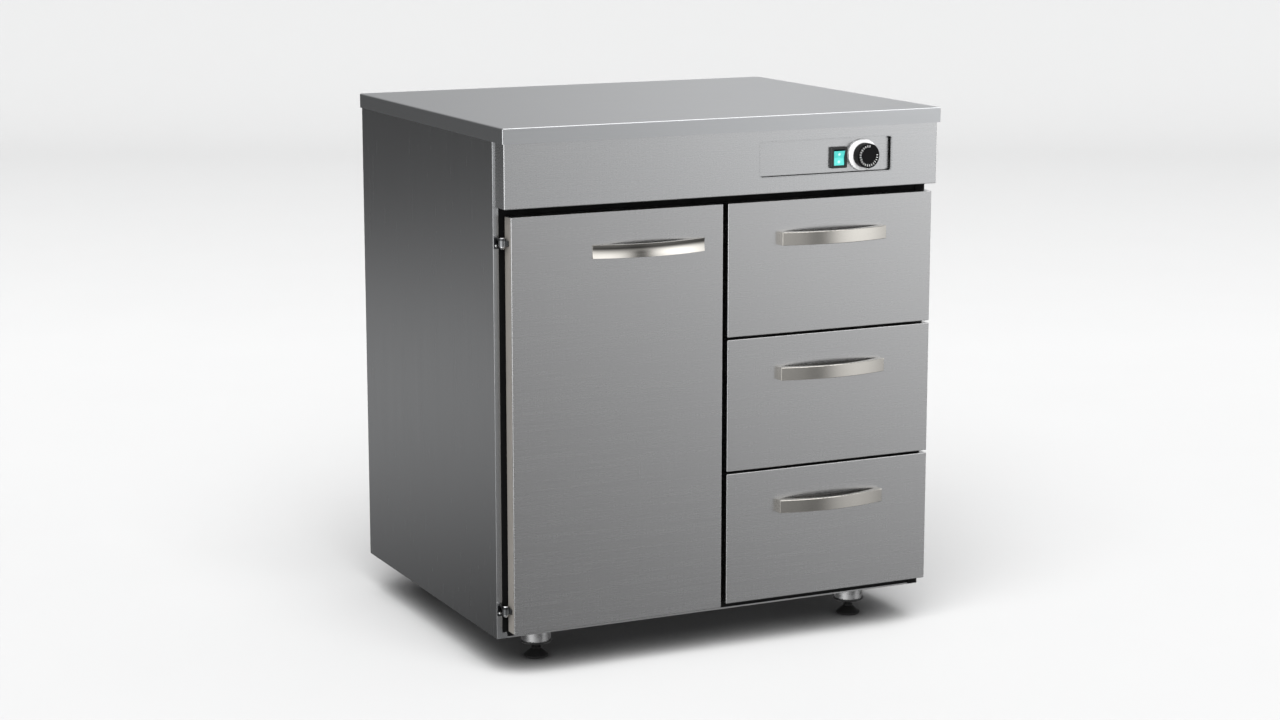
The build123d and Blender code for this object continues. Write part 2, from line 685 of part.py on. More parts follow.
def inlet_to_switch():
    """Mains feed along the right of the service bay."""
    start = CASING_BACK - INLET_DEPTH
    end = PANEL_FACE + SWITCH_BODY + TAB_LENGTH
    low = BAY_FLOOR + SHEET + LOOM_RADIUS
    x = SWITCH_X + SWITCH_TAB_X
    z = SWITCH_Z - SWITCH_TAB_Z

    def back(share):
        return start + share * (end - start)

    points = [
        (INLET_X, start, INLET_Z),
        (INLET_X, back(0.08), INLET_Z),
        (INLET_X + 6, back(0.19), low + 24),
        (INLET_X + 2, back(0.32), low + 2),
        (INLET_X - 12, back(0.46), low + 1),
        (INLET_X - 34, back(0.60), low + 3),
        (INLET_X - 62, back(0.73), low + 1),
        (x + 22, back(0.85), low + 24),
        (x, back(0.925), z),
        (x, end, z),
    ]
    return wire("inlet to switch", points, LOOM_RADIUS)


def switch_to_timer():
    """Short lead behind the control panel."""
    start = PANEL_FACE + SWITCH_BODY + TAB_LENGTH
    end = PANEL_FACE + SHEET + TIMER_DEPTH + TAB_LENGTH
    x = SWITCH_X + SWITCH_TAB_X
    z = SWITCH_Z + SWITCH_TAB_Z
    to = DIAL_X - TIMER_TAB_X
    points = [
        (x, start, z),
        (x, end + 18, z),
        (x + 7, end + 40, z - 1),
        (to - 9, end + 45, DIAL_Z + 3),
        (to, end + 24, DIAL_Z),
        (to, end, DIAL_Z),
    ]
    return wire("switch to timer", points, LEAD_RADIUS)


def timer_to_ballast():
    """Lamp feed across the service bay."""
    x = DIAL_X + TIMER_TAB_X
    start = PANEL_FACE + SHEET + TIMER_DEPTH + TAB_LENGTH
    end = LAMP_X + BALLAST_SIZE[0] / 2
    floor = BAY_FLOOR + SHEET
    low = floor + LOOM_RADIUS
    z = floor + BALLAST_SIZE[2] / 2

    def across(share):
        return x + share * (end - x)

    def back(share):
        return start + share * (BALLAST_Y - start)

    points = [
        (x, start, DIAL_Z),
        (x, back(0.10), DIAL_Z),
        (across(0.01), back(0.24), low + 34),
        (across(0.05), back(0.40), low + 3),
        (across(0.14), back(0.565), low + 1),
        (across(0.275), back(0.71), low + 2),
        (across(0.44), back(0.825), low + 1),
        (across(0.62), back(0.92), low + 2),
        (across(0.775), back(0.98), low + 5),
        (across(0.89), BALLAST_Y, z),
        (end, BALLAST_Y, z),
    ]
    return wire("timer to ballast", points, LOOM_RADIUS)


def ballast_to_lamp():
    """Lead round the ballast's end, down through the bay's floor and into the upper lampholder."""
    x = LAMP_X - BALLAST_SIZE[0] / 2
    z = BAY_FLOOR + SHEET + BALLAST_SIZE[2] / 2
    holder = LAMP_Z[1] + HOLDER_REACH
    drop = BAY_FLOOR - holder
    points = [
        (x, BALLAST_Y, z),
        (x - 32, BALLAST_Y, z),
        (x - 55, BALLAST_Y + 28, z + 3),
        (x - 38, CABLE_HOLE_Y - 24, z + 8),
        (x + 8, CABLE_HOLE_Y - 4, z + 13),
        (LAMP_X - 24, CABLE_HOLE_Y, z + 15),
        (LAMP_X - 1, CABLE_HOLE_Y, z - 7),
        (LAMP_X, CABLE_HOLE_Y + 1, BAY_FLOOR - 0.22 * drop),
        (LAMP_X, CABLE_HOLE_Y + 8, BAY_FLOOR - 0.5 * drop),
        (LAMP_X, LAMP_Y, BAY_FLOOR - 0.76 * drop),
        (LAMP_X, LAMP_Y, holder),
    ]
    return wire("ballast to lamp", points, LOOM_RADIUS)


def wiring_harness():
    """All leads of the lamp circuit."""
    return group(inlet_to_switch(), switch_to_timer(), timer_to_ballast(), ballast_to_lamp())


# ---------------------------------------------------------------- lamp


def uv_lamp_tube():
    """Quartz tube of the germicidal lamp."""
    z = (LAMP_Z[0] + LAMP_CAP, LAMP_Z[1] - LAMP_CAP)
    outside = cylinder((LAMP_X, LAMP_Y, z[0]), (LAMP_X, LAMP_Y, z[1]), LAMP_RADIUS)
    inside = cylinder((LAMP_X, LAMP_Y, z[0]), (LAMP_X, LAMP_Y, z[1]), LAMP_RADIUS - 1)
    return outside - inside


def lamp_cap(level, outward):
    """End cap of the lamp with its two contact pins."""
    ends = sorted((level, level - outward * LAMP_CAP))
    cap = cylinder((LAMP_X, LAMP_Y, ends[0]), (LAMP_X, LAMP_Y, ends[1]), LAMP_RADIUS)
    for dx in (-6.35, 6.35):
        start = (LAMP_X + dx, LAMP_Y, level - outward)
        cap += cylinder(start, (LAMP_X + dx, LAMP_Y, level + outward * PIN_LENGTH), PIN_RADIUS)
    return cap


def uv_lamp_caps():
    """Both end caps."""
    return group(lamp_cap(LAMP_Z[0], -1), lamp_cap(LAMP_Z[1], 1))


def lamp_holder(level, outward):
    """Plastic lampholder on the reflector, with holes for the pins."""
    z = sorted((level + outward * SEAT_GAP, level + outward * HOLDER_REACH))
    reflector_face = INNER_BACK - REFLECTOR_DEPTH
    holder = block(about(LAMP_X, 32), (LAMP_Y - 14, reflector_face - SEAT_GAP), z)
    holder = fillet(holder.edges().filter_by(Axis.Z).filter_by(lambda e: e.center().Y < LAMP_Y), 8)
    for dx in (-6.35, 6.35):
        start = (LAMP_X + dx, LAMP_Y, level - outward)
        end = (LAMP_X + dx, LAMP_Y, level + outward * (PIN_LENGTH + 0.5))
        holder -= cylinder(start, end, PIN_RADIUS + 0.1)
    return holder


def uv_lamp_holders():
    """Both lampholders."""
    return group(lamp_holder(LAMP_Z[0], -1), lamp_holder(LAMP_Z[1], 1))


def lamp_reflector():
    """Bright folded trough behind the lamp."""
    half = REFLECTOR_WIDTH / 2
    out = REFLECTOR_DEPTH
    outline = [(-half, 0), (-half + 18, out), (half - 18, out), (half, 0)]
    inner = [(half - 1.6, 0), (half - 18.6, out - 1), (-half + 18.6, out - 1), (-half + 1.6, 0)]
    z = (LAMP_Z[0] - REFLECTOR_PAST_LAMP, LAMP_Z[1] + REFLECTOR_PAST_LAMP)
    plane = Plane(origin=(LAMP_X, INNER_BACK, z[1]), x_dir=(1, 0, 0), z_dir=(0, 0, -1))
    face = make_face(plane * Polyline(*outline, *inner, close=True))
    return extrude(face, z[1] - z[0], dir=(0, 0, -1))


# ---------------------------------------------------------------- shelves, catch and sensor


def shelf(level):
    """Wire shelf: a round-bar frame, two cross bars and wires front to back."""
    play = SHELF_WIDTH_PLAY + SHELF_ROD
    x = (-LINER_IN + play, PARTITION_LEFT - play)
    y = (INNER_FRONT + 24, INNER_FRONT + 24 + SHELF_DEPTH)
    corners = [(x[0], y[0]), (x[1], y[0]), (x[1], y[1]), (x[0], y[1])]
    path = FilletPolyline(*[(a, b, level) for a, b in corners], radius=12, close=True)
    start = path @ 0
    frame = sweep(Plane(origin=start, z_dir=path % 0) * Circle(SHELF_ROD), path=path)
    for share in (1 / 3, 2 / 3):
        bar = y[0] + share * (y[1] - y[0])
        frame += cylinder((x[0], bar, level), (x[1], bar, level), SHELF_ROD * 0.8)
    rise = SHELF_ROD * 0.55
    for n in range(1, SHELF_WIRES + 1):
        at = x[0] + n * (x[1] - x[0]) / (SHELF_WIRES + 1)
        frame += cylinder((at, y[0], level + rise), (at, y[1], level + rise), SHELF_WIRE)
    return frame


def shelf_level(height):
    """Height of a shelf's round bars, which lie on the rails."""
    return CASING_BOTTOM + height + SHELF_ROD


def wire_shelves():
    """Both shelves of the lamp compartment."""
    return group(*[shelf(shelf_level(height)) for height in SHELF_HEIGHTS])


def shelf_supports():
    """Angle rails on both walls of the lamp compartment."""
    y = (INNER_FRONT + 20, INNER_FRONT + 20 + SHELF_DEPTH)
    rails = []
    for height in SHELF_HEIGHTS:
        top = CASING_BOTTOM + height
        for wall, inward in ((-LINER_IN, 1), (PARTITION_LEFT, -1)):
            flat = block(sorted((wall, wall + inward * SHELF_RAIL)), y, (top - SHEET, top))
            leg = block(sorted((wall, wall + inward * SHEET)), y, (top - SHELF_RAIL, top))
            rails.append(flat + leg)
    return group(*rails)



def door_catch():
    """Magnetic catch on the partition, just inside the door's opening."""
    x = (PARTITION_LEFT - 14, PARTITION_LEFT)
    case = block(x, (INNER_FRONT + 1, INNER_FRONT + 27), about(CATCH_Z, 38))
    face = block((x[0] + 2, x[1] - 2), (INNER_FRONT - 1, INNER_FRONT + 2), about(CATCH_Z, 30))
    return fillet(case.edges().filter_by(Axis.Y).filter_by(lambda e: e.center().X < x[1] - 1), 3) + face


def interlock_sensor():
    """Sensor under the bay floor that puts the lamp out when the door opens."""
    x = (PARTITION_LEFT - 50, PARTITION_LEFT - 20)
    case = block(x, (INNER_FRONT + 3, INNER_FRONT + 15), (FRAME_TOP_OPENING - 16, BAY_FLOOR))
    return fillet(case.edges().filter_by(Axis.Y).filter_by(lambda e: e.center().Z < BAY_FLOOR - 1), 3)


def door_magnets():
    """Strike plate for the catch and magnet for the sensor, on the door's inner face."""
    y = (FRONTS_BACK, FRONTS_BACK + 2)
    plate = block((PARTITION_LEFT - 13, PARTITION_LEFT - 1), y, about(CATCH_Z, 34))
    magnet = block((PARTITION_LEFT - 48, PARTITION_LEFT - 22), y, about(FRAME_TOP_OPENING - 9, 10))
    return group(plate, magnet)


# ---------------------------------------------------------------- door and hinges


def door_skin():
    """Outer door pan, open at the back."""
    outside = block(DOOR_X, (FRONTS_FACE, FRONTS_BACK), DOOR_Z)
    outside = rounded_sheet_edges(outside, Axis.Z, FRONTS_FACE)
    outside = fillet(outside.faces().sort_by(Axis.Y)[0].edges().filter_by(Axis.X), BEND / 2)
    inside = block(
        (DOOR_X[0] + SHEET, DOOR_X[1] - SHEET),
        (FRONTS_FACE + SHEET, FRONTS_BACK + 1),
        (DOOR_Z[0] + SHEET, DOOR_Z[1] - SHEET),
    )
    return outside - inside


def door_liner():
    """Inner door tray that closes the pan, its lips forwards."""
    edge = SHEET + SEAT_GAP
    x = (DOOR_X[0] + edge, DOOR_X[1] - edge)
    z = (DOOR_Z[0] + edge, DOOR_Z[1] - edge)
    outside = block(x, (FRONTS_BACK - 18, FRONTS_BACK), z)
    inside = block(
        (x[0] + SHEET, x[1] - SHEET),
        (FRONTS_BACK - 19, FRONTS_BACK - SHEET),
        (z[0] + SHEET, z[1] - SHEET),
    )
    return outside - inside


def door_gasket():
    """Seal that keeps the lamp's light in."""
    y = (FRONTS_BACK, FRAME_FACE - 0.3)
    outer = (
        (DOOR_X[0] + SHEET + 0.3, DOOR_X[1] - SHEET - 0.3),
        (DOOR_Z[0] + SHEET + 0.3, DOOR_Z[1] - SHEET - 0.3),
    )
    ring = block(outer[0], y, outer[1])
    ring -= block(
        (outer[0][0] + 6, outer[0][1] - 6),
        (y[0] - 1, y[1] + 1),
        (outer[1][0] + 6, outer[1][1] - 6),
    )
    return ring


def hinge_frame_leaf(top):
    """Plate on the side panel's front edge with a tongue that holds the pin."""
    back = CASING_FRONT
    plate = block(
        (-CASING_SIDE + 1, -LIP_EDGE - 0.5),
        (back - 2, back),
        (top - HINGE_HEIGHT, top),
    )
    plate = fillet(plate.edges().filter_by(Axis.Y), 1.5)
    x = (PIVOT[0] - HINGE_BARREL_RADIUS, PIVOT[0] + 1.5)
    arm = block(x, (PIVOT[1], back), (top - HINGE_TONGUE, top))
    disc = cylinder((*PIVOT, top - HINGE_TONGUE), (*PIVOT, top), HINGE_BARREL_RADIUS)
    bore = cylinder((*PIVOT, top - HINGE_TONGUE - 1), (*PIVOT, top + 1), HINGE_PIN_RADIUS + 0.02)
    return plate + arm + disc - bore


def hinge_door_leaf(top):
    """Barrel on the pin with a leaf on the door's edge."""
    z = (top - HINGE_HEIGHT + 5.5, top - HINGE_TONGUE - HINGE_PLAY)
    barrel = cylinder((*PIVOT, z[0]), (*PIVOT, z[1]), HINGE_BARREL_RADIUS)
    leaf = block(
        (DOOR_X[0] - 2, DOOR_X[0]),
        (PIVOT[1] - 9, PIVOT[1] + 7),
        z,
    )
    leaf = fillet(leaf.edges().filter_by(Axis.X), 2)
    web = block((PIVOT[0], DOOR_X[0] - 1), about(PIVOT[1], 7), z)
    bore = cylinder((*PIVOT, z[0] - 1), (*PIVOT, z[1] + 1), HINGE_PIN_RADIUS + HINGE_PIN_PLAY)
    return barrel + leaf + web - bore


def hinge_pin(top):
    """Pin with a flat head above the tongue and a domed nut below the barrel."""
    low = top - HINGE_HEIGHT + 5.2
    r = HINGE_PIN_RADIUS
    profile = [
        (0, low - 5),
        (2.6, low - 4.6),
        (4.3, low - 3),
        (4.8, low - 1.2),
        (4.8, low),
        (r, low),
        (r, top + SEAT_GAP),
        (r + 1.5, top + SEAT_GAP),
        (r + 1.2, top + 1.4),
        (0, top + 1.8),
    ]
    return turned(profile, (*PIVOT, 0))


def hinge_screw(top):
    """Domed screw head on the frame leaf's plate."""
    profile = [(0, 2.2), (0, 0), (2.6, 0), (2.4, 1.0), (1.4, 1.9)]
    x = (-CASING_SIDE - LIP_EDGE) / 2
    place = (x, CASING_FRONT - 2, top - HINGE_HEIGHT + 5)
    return turned(profile, place, "-Y")


def at_both_hinges(make):
    """One piece for the upper hinge and one for the lower."""
    return group(*[make(top) for top in HINGE_TOPS])


def bow_handle(length, height, foot_length, end, reach, bar):
    """Bow handle in plan: flat feet, a curved bar and a curved finger gap, its back on Y = 0."""
    half = length / 2
    foot = half - foot_length
    outline = [
        Line((-half, 0), (-half, -end)),
        ThreePointArc((-half, -end), (0, -reach), (half, -end)),
        Line((half, -end), (half, 0)),
        Line((half, 0), (foot, 0)),
        ThreePointArc((foot, 0), (0, -reach + bar), (-foot, 0)),
        Line((-foot, 0), (-half, 0)),
    ]
    solid = Pos(0, 0, -height / 2) * extrude(make_face(outline), height)
    front = solid.faces().filter_by(GeomType.CYLINDER).sort_by(Axis.Y)[0]
    return fillet(front.edges(), 0.8)


def door_handle():
    """Handle near the door's closing edge."""
    x = DOOR_X[1] - DOOR_HANDLE_EDGE - DOOR_HANDLE_LENGTH / 2
    z = DOOR_Z[1] - DOOR_HANDLE_DROP - DOOR_HANDLE_HEIGHT / 2
    bow = bow_handle(
        DOOR_HANDLE_LENGTH,
        DOOR_HANDLE_HEIGHT,
        DOOR_HANDLE_FOOT,
        DOOR_HANDLE_END,
        DOOR_HANDLE_REACH,
        DOOR_HANDLE_BAR,
    )
    return Pos(x, FRONTS_FACE, z) * bow


# ---------------------------------------------------------------- drawers


def drawer_front(index):
    """Folded drawer front with a lip all round its back."""
    top = drawer_top(index)
    z = (top - DRAWER_HEIGHT, top)
    outside = block(DRAWER_X, (FRONTS_FACE, FRONTS_BACK), z)
    outside = rounded_sheet_edges(outside, Axis.Z, FRONTS_FACE)
    outside = fillet(outside.faces().sort_by(Axis.Y)[0].edges().filter_by(Axis.X), BEND / 2)
    inside = block(
        (DRAWER_X[0] + SHEET, DRAWER_X[1] - SHEET),
        (FRONTS_FACE + SHEET, FRONTS_BACK - SHEET),
        (z[0] + SHEET, z[1] - SHEET),
    )
    window = block(
        (DRAWER_X[0] + FRONT_LIP, DRAWER_X[1] - FRONT_LIP),
        (FRONTS_FACE + SHEET, FRONTS_BACK + 1),
        (z[0] + FRONT_LIP, z[1] - FRONT_LIP),
    )
    return outside - inside - window


def drawer_box(index):
    """Open-topped sheet tray with a rolled rim."""
    floor = box_floor(index)
    z = (floor, floor + DRAWER_BOX_HEIGHT)
    outside = block(BOX_X, BOX_Y, z)
    outside = fillet(outside.edges().filter_by(Axis.Z), BEND)
    inside = block(
        (BOX_X[0] + SHEET, BOX_X[1] - SHEET),
        (BOX_Y[0] + SHEET, BOX_Y[1] - SHEET),
        (floor + SHEET, z[1] + 1),
    )
    return outside - inside


def drawer_handle(index):
    """Handle in the middle of a drawer's front."""
    x = (DRAWER_X[0] + DRAWER_X[1]) / 2
    z = drawer_top(index) - HANDLE_DROP - HANDLE_HEIGHT / 2
    bow = bow_handle(HANDLE_LENGTH, HANDLE_HEIGHT, HANDLE_FOOT, HANDLE_END, HANDLE_REACH, HANDLE_BAR)
    return Pos(x, FRONTS_FACE, z) * bow


def channel(back, tip, middle, height):
    """A runner member: a web at one X place with two flanges that reach to another."""
    inward = 1 if tip > back else -1
    web = block(sorted((back, back + inward * SHEET)), RUNNER_Y, about(middle, height))
    shape = web
    for edge in (-1, 1):
        level = middle + edge * height / 2
        z = sorted((level, level - edge * SHEET))
        shape += block(sorted((back, tip)), RUNNER_Y, z)
    return shape


def runner_pair(index, back, tip, height):
    """A member on the left of a drawer and its mirror image on the right."""
    middle = runner_middle(index)
    left = PARTITION_RIGHT
    right = LINER_IN
    return [
        channel(left + back, left + tip, middle, height),
        channel(right - back, right - tip, middle, height),
    ]


def runner_cabinet_members():
    """Outer runner members, fixed to the partition and the right liner."""
    tip = RUNNER_THICK - SHEET
    members = [m for index in range(3) for m in runner_pair(index, 0, tip, RUNNER_HEIGHT)]
    return group(*members)


def runner_middle_members(index):
    """Middle runner members, which travel half as far as the drawer."""
    return group(*runner_pair(index, STEP, RUNNER_THICK - SHEET - RUNNER_PLAY, MIDDLE_HEIGHT))


def runner_drawer_members(index):
    """Inner runner members, fixed to the drawer's box."""
    return group(*runner_pair(index, RUNNER_THICK, 2 * STEP + RUNNER_PLAY, INNER_HEIGHT))


# ---------------------------------------------------------------- feet


def foot_socket(place):
    """Mounting plate and steel tube that carry one foot."""
    top = CASING_BOTTOM
    bottom = top - SOCKET_HEIGHT
    under = top - SOCKET_PLATE_THICK
    plate = block(about(place[0], SOCKET_PLATE), about(place[1], SOCKET_PLATE), (under, top))
    plate = fillet(plate.edges().filter_by(Axis.Z), 10)
    tube = cylinder((*place, bottom), (*place, under), SOCKET_RADIUS)
    hollow = cylinder((*place, bottom - 1), (*place, under), SOCKET_RADIUS - SOCKET_WALL)
    return plate + tube - hollow


def foot_bush(place):
    """Plastic plug in the tube's end, bored for the stem."""
    bottom = CASING_BOTTOM - SOCKET_HEIGHT
    flange = bottom - BUSH_FLANGE
    top = CASING_BOTTOM - SOCKET_PLATE_THICK - 4
    outer = SOCKET_RADIUS + BUSH_PROUD
    inner = SOCKET_RADIUS - SOCKET_WALL - SEAT_GAP
    bore = STEM_RADIUS + STEM_PLAY
    profile = [
        (bore, flange),
        (outer - 2, flange),
        (outer, flange + 2),
        (outer, bottom),
        (inner, bottom),
        (inner, top),
        (bore, top),
    ]
    return turned(profile, (*place, 0))


def foot_pad(place):
    """Threaded stem with a flared pad, screwed up or down to level the cabinet."""
    r = PAD_RADIUS
    neck = PAD_NECK_RADIUS
    profile = [
        (0, 0),
        (r - 1.5, 0),
        (r, 1.5),
        (r, PAD_RIM - 1),
        (r - 1.2, PAD_RIM),
        (neck, PAD_NECK_TOP - 3),
        (neck, PAD_NECK_TOP),
        (STEM_RADIUS, PAD_NECK_TOP),
        (STEM_RADIUS, STEM_TOP),
        (0, STEM_TOP),
    ]
    return turned(profile, (*place, 0))


def at_all_feet(make):
    """One piece for each of the four feet, in one node."""
    return group(*[make(place) for place in FOOT_PLACES.values()])


# ---------------------------------------------------------------- all nodes


def build():
    """Every node by name."""
    side = left_side_panel()
    liner = side_liner()
    nodes = {
        "worktop": worktop(),
        "worktop_core": worktop_core(),
        "left_side_panel": side,
        "right_side_panel": mirrored(side),
        "side_liners": group(liner, mirrored(liner)),
        "base_panel": base_panel(),
        "back_panel": back_panel(),
        "centre_partition": centre_partition(),
        "service_bay_floor": service_bay_floor(),
        "front_frame": front_frame(),
        "fascia": fascia(),
        "control_panel": control_panel(),
        "switch_housing": switch_housing(),
        "switch_rocker": switch_rocker(),
        "dial_ring": dial_ring(),
        "timer_body": timer_body(),
        "timer_shaft": timer_shaft(),
        "timer_knob": timer_knob(),
        "mains_inlet": mains_inlet(),
        "ballast": ballast(),
        "wiring_harness": wiring_harness(),
        "uv_lamp_tube": uv_lamp_tube(),
        "uv_lamp_caps": uv_lamp_caps(),
        "uv_lamp_holders": uv_lamp_holders(),
        "lamp_reflector": lamp_reflector(),
        "wire_shelves": wire_shelves(),
        "shelf_supports": shelf_supports(),
        "door_catch": door_catch(),
        "interlock_sensor": interlock_sensor(),
        "hinge_frame_leaves": at_both_hinges(hinge_frame_leaf),
        "hinge_pins": at_both_hinges(hinge_pin),
        "hinge_screws": at_both_hinges(hinge_screw),
        "hinge_door_leaves": at_both_hinges(hinge_door_leaf),
        "door_skin": door_skin(),
        "door_liner": door_liner(),
        "door_gasket": door_gasket(),
        "door_magnets": door_magnets(),
        "door_handle": door_handle(),
        "runner_cabinet_members": runner_cabinet_members(),
        "foot_sockets": at_all_feet(foot_socket),
        "foot_bushes": at_all_feet(foot_bush),
    }
    for index, name in enumerate(DRAWER_NAMES):
        nodes[f"{name}_drawer_front"] = drawer_front(index)
        nodes[f"{name}_drawer_box"] = drawer_box(index)
        nodes[f"{name}_drawer_handle"] = drawer_handle(index)
        nodes[f"{name}_drawer_runner_members"] = runner_drawer_members(index)
        nodes[f"{name}_runner_middle_members"] = runner_middle_members(index)
    for name, place in FOOT_PLACES.items():
        nodes[f"{name}_foot_pad"] = foot_pad(place)
    return nodes


os.makedirs("parts", exist_ok=True)
for node, shape in build().items():
    export_step(shape, f"parts/{node}.step")
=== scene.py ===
"""Looks of a UV sterilizer cabinet: studio, materials and refined pieces on the CAD frame."""

import math

import bmesh
import bpy
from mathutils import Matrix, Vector


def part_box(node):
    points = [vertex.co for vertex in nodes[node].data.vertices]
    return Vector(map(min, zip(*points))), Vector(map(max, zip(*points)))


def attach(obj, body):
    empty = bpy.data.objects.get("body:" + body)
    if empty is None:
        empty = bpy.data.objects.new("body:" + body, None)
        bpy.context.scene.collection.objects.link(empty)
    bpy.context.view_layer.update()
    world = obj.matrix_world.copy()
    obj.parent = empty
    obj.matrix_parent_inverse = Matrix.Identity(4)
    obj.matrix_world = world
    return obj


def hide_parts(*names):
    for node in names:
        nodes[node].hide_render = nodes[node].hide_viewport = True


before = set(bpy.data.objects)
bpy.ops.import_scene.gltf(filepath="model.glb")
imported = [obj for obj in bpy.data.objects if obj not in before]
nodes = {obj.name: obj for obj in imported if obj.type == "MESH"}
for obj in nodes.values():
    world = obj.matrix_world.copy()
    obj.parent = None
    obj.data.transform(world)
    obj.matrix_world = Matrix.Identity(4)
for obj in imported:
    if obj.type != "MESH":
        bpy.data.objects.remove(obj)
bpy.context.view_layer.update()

MM = 0.001
DRAWERS = ("top", "middle", "bottom")
FEET = ("front_left", "front_right", "back_left", "back_right")


def each(pattern, names):
    """Node names made from a pattern, such as {}_drawer_box."""
    return [pattern.format(name) for name in names]


def middle(node):
    """Middle of a CAD node's box."""
    low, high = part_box(node)
    return (low + high) / 2


# ---------------------------------------------------------------- shader helpers


class Nodes:
    """A node tree with short calls that add nodes and link them."""

    def __init__(self, tree):
        self.tree = tree

    def feed(self, node, key, value):
        socket = node.inputs[key]
        if isinstance(value, bpy.types.NodeSocket):
            self.tree.links.new(value, socket)
        else:
            socket.default_value = value

    def add(self, kind, **inputs):
        node = self.tree.nodes.new(kind)
        for key, value in inputs.items():
            self.feed(node, key.replace("_", " "), value)
        return node

    def math(self, operation, a, b=0.0):
        node = self.tree.nodes.new("ShaderNodeMath")
        node.operation = operation
        self.feed(node, 0, a)
        self.feed(node, 1, b)
        return node.outputs[0]

    def vector(self, operation, a, b, output="Vector"):
        node = self.tree.nodes.new("ShaderNodeVectorMath")
        node.operation = operation
        self.feed(node, 0, a)
        self.feed(node, 1, b)
        return node.outputs[output]

    def spread(self, value, start, end, low, high, smooth=False):
        """Maps start..end to low..high, without going past either."""
        node = self.tree.nodes.new("ShaderNodeMapRange")
        if smooth:
            node.interpolation_type = "SMOOTHSTEP"
        values = {"Value": value, "From Min": start, "From Max": end, "To Min": low, "To Max": high}
        for key, item in values.items():
            self.feed(node, key, item)
        return node.outputs["Result"]

    def blend(self, share, a, b):
        """Colour between a, at a share of 0, and b, at 1."""
        node = self.tree.nodes.new("ShaderNodeMix")
        node.data_type = "RGBA"
        for index, value in ((0, share), (6, a), (7, b)):  # the factor and the two colours
            self.feed(node, index, value)
        return node.outputs[2]

    def place(self, scale=(1, 1, 1)):
        """Object coordinates in metres, times a scale."""
        coordinates = self.add("ShaderNodeTexCoord").outputs["Object"]
        return self.add("ShaderNodeMapping", Vector=coordinates, Scale=scale).outputs["Vector"]

    def noise(self, scale, detail=3.0, roughness=0.5):
        """Noise with a number of features per metre along each axis."""
        settings = {"Scale": 1.0, "Detail": detail, "Roughness": roughness}
        return self.add("ShaderNodeTexNoise", Vector=self.place(scale), **settings).outputs["Fac"]


class Shader(Nodes):
    """A new material around a Principled shader."""

    def __init__(self, name, **inputs):
        self.material = bpy.data.materials.new(name)
        self.material.use_nodes = True
        super().__init__(self.material.node_tree)
        self.bsdf = self.tree.nodes["Principled BSDF"]
        self.set(**inputs)

    def set(self, **inputs):
        """Sets or links the shader's inputs, named with _ for a space."""
        for key, value in inputs.items():
            self.feed(self.bsdf, key.replace("_", " "), value)

    def bump(self, height, strength, distance):
        """Relief from a height between 0 and 1, with its depth in metres."""
        node = self.add("ShaderNodeBump", Strength=strength, Distance=distance, Height=height)
        self.set(Normal=node.outputs["Normal"])


def grey(value, cool=0.0):
    """A neutral colour, slightly blue for a cool above 0."""
    return (value * (1 - cool), value, value * (1 + cool), 1)


def shade(colour, factor):
    """A colour made lighter or darker."""
    return tuple(min(c * factor, 1) for c in colour[:3]) + (1,)


def stretched(axis, along, across):
    """A scale with few features along one axis and many across it."""
    return tuple(along if name == axis else across for name in "XYZ")


# ---------------------------------------------------------------- materials


def brushed(name, colour, roughness, axis, weave=0.0, depth=0.010):
    """Brushed steel: fine scratches and soft bands along an axis, stains, and some cross grain."""
    s = Shader(name, Metallic=1.0)
    scratches = s.noise(stretched(axis, 18, 1500), 4, 0.65)
    bands = s.noise(stretched(axis, 5, 330), 3, 0.6)
    stains = s.noise((5, 5, 5), 3, 0.5)
    grain = s.math("ADD", s.math("MULTIPLY", scratches, 0.5), s.math("MULTIPLY", bands, 0.5))
    if weave:
        crossing = s.noise(stretched("Z" if axis == "X" else "X", 14, 420), 3, 0.6)
        grain = s.math("MULTIPLY", grain, 1 - weave)
        grain = s.math("ADD", grain, s.math("MULTIPLY", crossing, weave))
    tone = s.math("ADD", s.math("MULTIPLY", grain, 0.8), s.math("MULTIPLY", stains, 0.2))
    share = s.spread(tone, 0.34, 0.66, 0, 1)
    s.set(Base_Color=s.blend(share, shade(colour, 0.98), shade(colour, 1.02)))
    s.set(Roughness=s.spread(grain, 0.35, 0.65, roughness * 0.92, roughness * 1.10))
    s.bump(grain, depth, 0.00005)
    return s.material


def plated(name, colour, roughness):
    """Plated or drawn metal with smudges and hairlines."""
    s = Shader(name, Metallic=1.0)
    smudges = s.noise((70, 70, 70), 4, 0.6)
    hairs = s.noise((1100, 1100, 80), 2, 0.5)
    s.set(Base_Color=s.blend(s.spread(smudges, 0.3, 0.7, 0, 1), shade(colour, 0.88), colour))
    s.set(Roughness=s.spread(smudges, 0.3, 0.7, roughness * 0.75, roughness * 1.35))
    s.bump(hairs, 0.03, 0.00003)
    return s.material


def moulded(name, colour, roughness, grain=0.12, coat=0.0, specular=0.5):
    """Moulded plastic or rubber with a fine texture and faint handling marks."""
    s = Shader(name, Coat_Weight=coat, Coat_Roughness=0.08, Specular_IOR_Level=specular)
    marks = s.noise((45, 45, 45), 3, 0.6)
    texture = s.noise((1500, 1500, 1500), 2, 0.5)
    s.set(Base_Color=s.blend(marks, shade(colour, 0.85), colour))
    s.set(Roughness=s.spread(marks, 0.3, 0.7, roughness * 0.85, roughness * 1.15))
    s.bump(texture, grain, 0.00006)
    return s.material


ROCKER_HIGHLIGHT_OFFSET = 0.26  # share of the rocker's height from its middle to a painted highlight
ROCKER_HIGHLIGHT_RADIUS = 3.6 * MM


